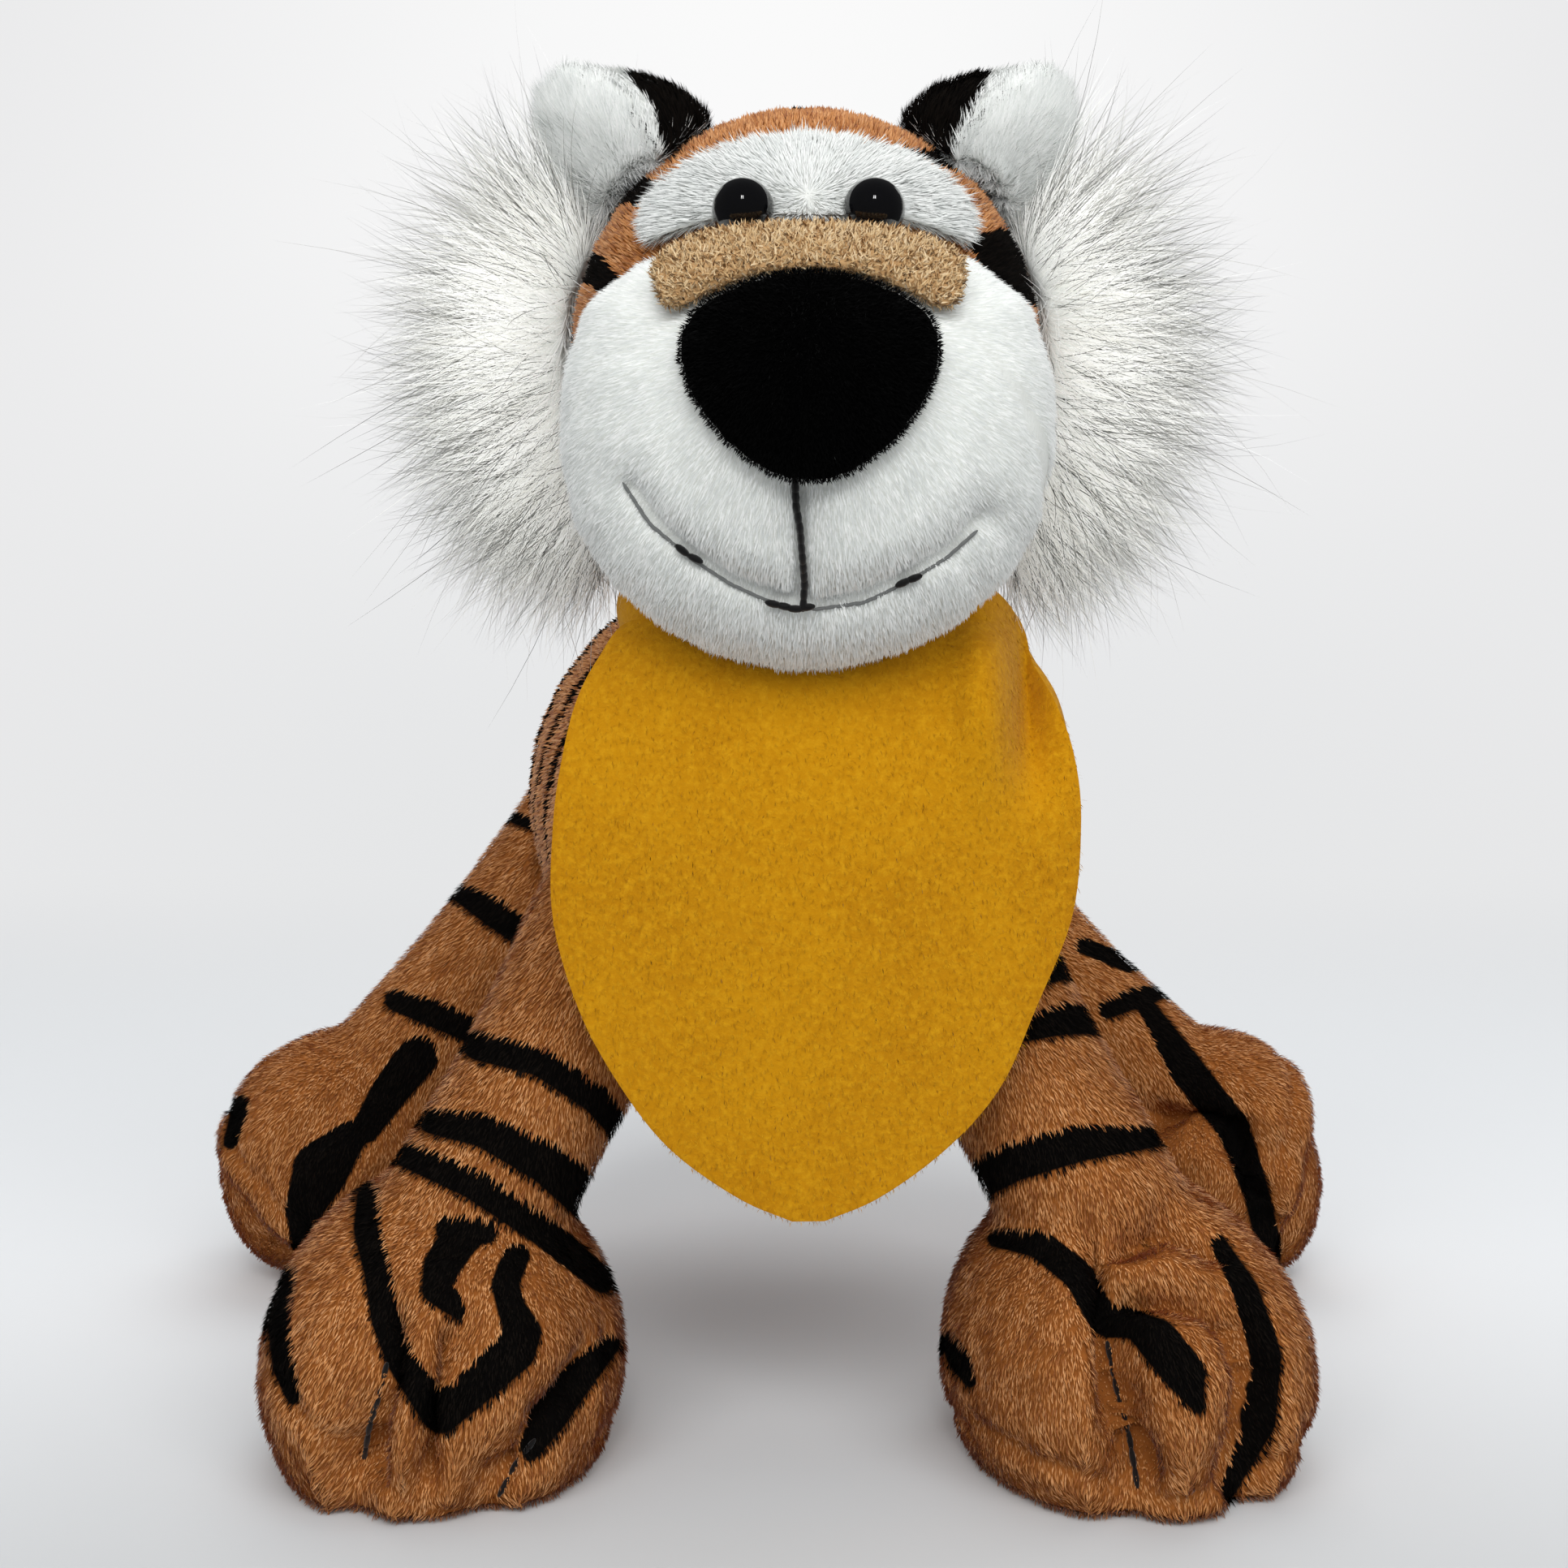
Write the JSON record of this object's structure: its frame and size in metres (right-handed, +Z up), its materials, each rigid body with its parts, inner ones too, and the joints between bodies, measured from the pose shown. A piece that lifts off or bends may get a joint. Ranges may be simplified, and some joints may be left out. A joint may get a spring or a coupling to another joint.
{
  "type": "plush tiger",
  "caption": "Stuffed plush tiger standing on splayed, pellet-weighted paws, with a big muzzle, bead eyes, long-fur cheek ruffs and a felt bandana.",
  "frame": {"origin": "on the floor, under the middle of the toy's bounding box", "axes": "+Z up, the face looks along -Y, +X is towards the toy's own left"},
  "size_m": [0.1966, 0.2476, 0.1983],
  "materials": {
    "orange_plush": "short velboa pile, orange-brown with black stripes",
    "white_plush": "soft white pile, slightly combed",
    "black_plush": "short black pile",
    "long_fur": "long white faux fur with cream tips",
    "tan_fleece": "curly tan fleece",
    "nose_cloth": "matte black brushed cloth",
    "felt": "yellow-orange felt, slightly mottled",
    "eye_plastic": "polished black bead",
    "washer_plastic": "moulded natural plastic",
    "stuffing": "loose white polyester fibre",
    "pellets": "small round pellets in a liner bag"
  },
  "bodies": {
    "torso": {"torso_skin": "orange_plush", "torso_stuffing": "stuffing", "bandana": "felt"},
    "head": {"head_skin": "orange_plush", "head_stuffing": "stuffing", "muzzle_skin": "white_plush", "muzzle_stuffing": "stuffing", "eye_patch": "white_plush", "nose_bridge": "tan_fleece", "nose": "nose_cloth", "eye_left": "eye_plastic", "eye_right": "eye_plastic", "eye_washer_left": "washer_plastic", "eye_washer_right": "washer_plastic", "ear_front_left": "white_plush", "ear_front_right": "white_plush", "ear_back_left": "black_plush", "ear_back_right": "black_plush", "ruff_left": "long_fur", "ruff_right": "long_fur"},
    "tail": {"tail_skin": "orange_plush", "tail_stuffing": "stuffing"},
    "front_leg_left_body": {"front_leg_left": "orange_plush", "front_leg_left_stuffing": "stuffing", "front_sole_left": "orange_plush", "front_pellets_left": "pellets"},
    "front_leg_right_body": {"front_leg_right": "orange_plush", "front_leg_right_stuffing": "stuffing", "front_sole_right": "orange_plush", "front_pellets_right": "pellets"},
    "hind_leg_left_body": {"hind_leg_left": "orange_plush", "hind_leg_left_stuffing": "stuffing", "hind_sole_left": "orange_plush", "hind_pellets_left": "pellets"},
    "hind_leg_right_body": {"hind_leg_right": "orange_plush", "hind_leg_right_stuffing": "stuffing", "hind_sole_right": "orange_plush", "hind_pellets_right": "pellets"}
  },
  "joints": [
    {"name": "head_joint", "type": "hinge", "parent": "torso", "child": "head", "pos_m": [0.00394, -0.06693, 0.122], "axis": [0, 0, 1], "range_deg": [-12, 12]},
    {"name": "tail_joint", "type": "hinge", "parent": "torso", "child": "tail", "pos_m": [0.00394, 0.04257, 0.097], "axis": [1, 0, 0], "range_deg": [-15, 25]},
    {"name": "left_shoulder_joint", "type": "hinge", "parent": "torso", "child": "front_leg_left_body", "pos_m": [0.02824, -0.06873, 0.07194], "axis": [1, 0, 0], "range_deg": [-10, 15]},
    {"name": "right_shoulder_joint", "type": "hinge", "parent": "torso", "child": "front_leg_right_body", "pos_m": [-0.02036, -0.06873, 0.07194], "axis": [1, 0, 0], "range_deg": [-10, 15]},
    {"name": "left_hip_joint", "type": "hinge", "parent": "torso", "child": "hind_leg_left_body", "pos_m": [0.03677, 0.00623, 0.06861], "axis": [1, 0, 0], "range_deg": [-8, 20]},
    {"name": "right_hip_joint", "type": "hinge", "parent": "torso", "child": "hind_leg_right_body", "pos_m": [-0.03215, 0.00623, 0.07776], "axis": [1, 0, 0], "range_deg": [-8, 20]}
  ]
}
